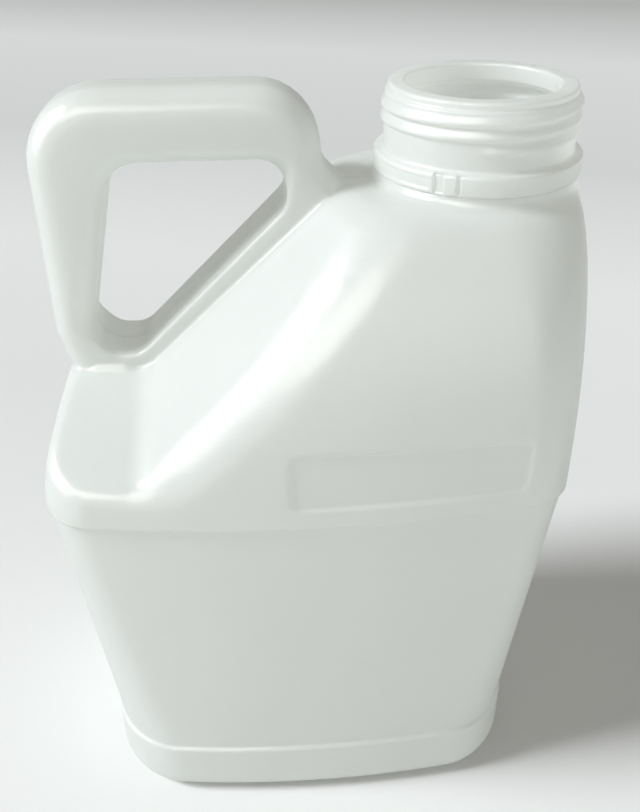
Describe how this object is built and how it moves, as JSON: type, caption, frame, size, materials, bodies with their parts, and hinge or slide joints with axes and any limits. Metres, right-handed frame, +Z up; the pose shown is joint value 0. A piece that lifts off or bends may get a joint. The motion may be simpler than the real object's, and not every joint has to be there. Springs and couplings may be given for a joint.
{
  "type": "rectangular handle jug",
  "caption": "Rectangular blow-moulded jug in milky natural plastic with a hollow handle over its sloping shoulder and a wide open threaded neck.",
  "frame": {"origin": "bottom centre of the jug's outer box, on the plane it stands on", "axes": "+Z up, +X from the handle towards the neck, +Y towards the back; the neck and the handle lie in the Y = 0 plane"},
  "size_m": [0.1798, 0.13, 0.2634],
  "materials": {
    "jug": "satin, milky and translucent"
  },
  "bodies": {
    "root": {"jug": "jug"}
  },
  "joints": []
}
